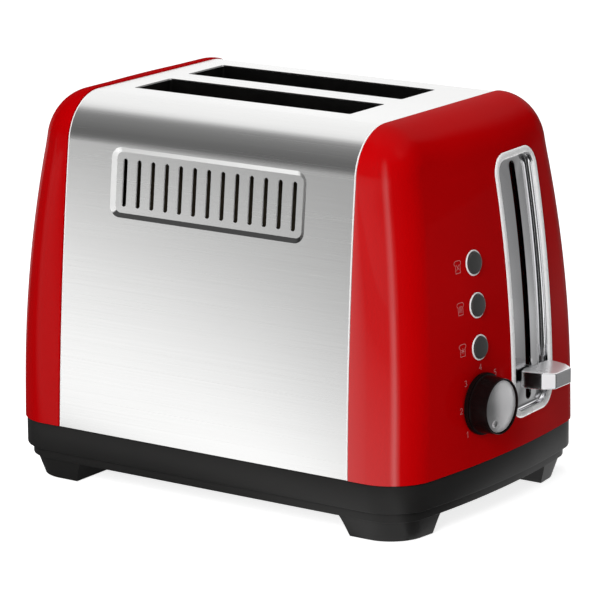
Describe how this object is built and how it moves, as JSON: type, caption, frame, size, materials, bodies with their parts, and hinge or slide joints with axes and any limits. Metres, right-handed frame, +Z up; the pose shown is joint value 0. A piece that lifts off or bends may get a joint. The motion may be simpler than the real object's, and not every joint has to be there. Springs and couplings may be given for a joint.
{
  "type": "toaster",
  "caption": "Bread toaster with a brushed steel wrap between gloss red end panels, a lever that lowers the bread, a browning dial, push buttons and a crumb tray.",
  "frame": {"origin": "on the floor under the middle of the whole toaster, knobs included", "axes": "+Z up; +X along the bread slots towards the end with the controls; -Y towards the broad front side"},
  "size_m": [0.2802, 0.1769, 0.2082],
  "materials": {
    "brushed_steel": "fine lengthwise brushing",
    "red_gloss": "smooth gloss red",
    "black_plastic": "fine matt texture",
    "soft_rubber": "matt moulded rubber",
    "zinc_steel": "zinc plated",
    "chrome": "bright plated",
    "dark_cap": "satin dark grey",
    "black_gloss": "smooth gloss black",
    "spun_metal": "spun in fine circles",
    "chassis_steel": "plain galvanised sheet",
    "mica": "pressed mica board",
    "ribbon_alloy": "oxidised resistance ribbon",
    "wire_steel": "plated wire",
    "board_green": "lacquered board",
    "white_plastic": "natural moulded plastic",
    "coil_copper": "enamelled copper winding",
    "soft_iron": "bare soft iron",
    "brass": "turned brass"
  },
  "bodies": {
    "housing": {"steel_wrap": "brushed_steel", "right_end_panel": "red_gloss", "left_end_panel": "red_gloss", "base_tray": "black_plastic", "foot_pad_1": "soft_rubber", "base_screw_1": "zinc_steel", "foot_pad_2": "soft_rubber", "base_screw_2": "zinc_steel", "foot_pad_3": "soft_rubber", "base_screw_3": "zinc_steel", "foot_pad_4": "soft_rubber", "base_screw_4": "zinc_steel", "cord_gland": "soft_rubber", "chassis_plate_right": "chassis_steel", "chassis_plate_left": "chassis_steel", "slot_liner": "chassis_steel", "heater_card_front": "mica", "heater_card_centre": "mica", "heater_card_rear": "mica", "heating_ribbon_1": "ribbon_alloy", "heating_ribbon_2": "ribbon_alloy", "heating_ribbon_3": "ribbon_alloy", "heating_ribbon_4": "ribbon_alloy", "guide_rod": "zinc_steel", "lift_spring": "wire_steel", "magnet_core": "soft_iron", "magnet_coil": "coil_copper", "lever_bezel": "chrome", "circuit_board": "board_green", "terminal_block": "white_plastic", "mains_switch": "black_plastic", "browning_control": "soft_iron", "button_ring_defrost": "chrome", "switch_defrost": "white_plastic", "button_ring_reheat": "chrome", "switch_reheat": "white_plastic", "button_ring_cancel": "chrome", "switch_cancel": "white_plastic"},
    "carriage": {"bread_rack_front": "wire_steel", "bread_rack_rear": "wire_steel", "carriage_plate": "chassis_steel", "slider_bush": "white_plastic", "latch_keeper": "soft_iron", "lever_arm": "chassis_steel", "lever_knob": "chrome"},
    "guard_front_outer": {"bread_guard_front_outer": "wire_steel"},
    "guard_front_inner": {"bread_guard_front_inner": "wire_steel"},
    "guard_rear_inner": {"bread_guard_rear_inner": "wire_steel"},
    "guard_rear_outer": {"bread_guard_rear_outer": "wire_steel"},
    "dial": {"browning_dial": "black_gloss", "dial_cap": "spun_metal", "dial_shaft": "brass"},
    "push_defrost": {"button_defrost": "dark_cap"},
    "push_reheat": {"button_reheat": "dark_cap"},
    "push_cancel": {"button_cancel": "dark_cap"},
    "crumb_drawer": {"crumb_tray": "chassis_steel", "crumb_tray_handle": "black_plastic"}
  },
  "joints": [
    {"name": "lever_slide", "type": "slide", "parent": "housing", "child": "carriage", "axis": [0, 0, 1], "range_m": [0, 0.1], "deforming": ["lift_spring"]},
    {"name": "guard_front_outer_slide", "type": "slide", "parent": "housing", "child": "guard_front_outer", "axis": [0, -1, 0], "range_m": [0, 0.0036]},
    {"name": "guard_front_inner_slide", "type": "slide", "parent": "housing", "child": "guard_front_inner", "axis": [0, 1, 0], "range_m": [0, 0.0036]},
    {"name": "guard_rear_inner_slide", "type": "slide", "parent": "housing", "child": "guard_rear_inner", "axis": [0, -1, 0], "range_m": [0, 0.0036]},
    {"name": "guard_rear_outer_slide", "type": "slide", "parent": "housing", "child": "guard_rear_outer", "axis": [0, 1, 0], "range_m": [0, 0.0036]},
    {"name": "dial_turn", "type": "hinge", "parent": "housing", "child": "dial", "pos_m": [0.12218, -0.0249, 0.0639], "axis": [0.9986, -0.0497, 0.0168], "range_deg": [-270, 0]},
    {"name": "defrost_press", "type": "slide", "parent": "housing", "child": "push_defrost", "axis": [-0.997, 0.0497, -0.0588], "range_m": [0, 0.0015], "stiffness_N_per_m": 300},
    {"name": "reheat_press", "type": "slide", "parent": "housing", "child": "push_reheat", "axis": [-0.9947, 0.0495, -0.0899], "range_m": [0, 0.0015], "stiffness_N_per_m": 300},
    {"name": "cancel_press", "type": "slide", "parent": "housing", "child": "push_cancel", "axis": [-0.9915, 0.0494, -0.1208], "range_m": [0, 0.0015], "stiffness_N_per_m": 300},
    {"name": "crumb_drawer_slide", "type": "slide", "parent": "housing", "child": "crumb_drawer", "axis": [-1, 0, 0], "range_m": [0, 0.18]}
  ],
  "couplings": [
    {"joint": "guard_front_outer_slide", "follows": "lever_slide", "ratio": 0.035},
    {"joint": "guard_front_inner_slide", "follows": "lever_slide", "ratio": 0.035},
    {"joint": "guard_rear_inner_slide", "follows": "lever_slide", "ratio": 0.035},
    {"joint": "guard_rear_outer_slide", "follows": "lever_slide", "ratio": 0.035}
  ]
}
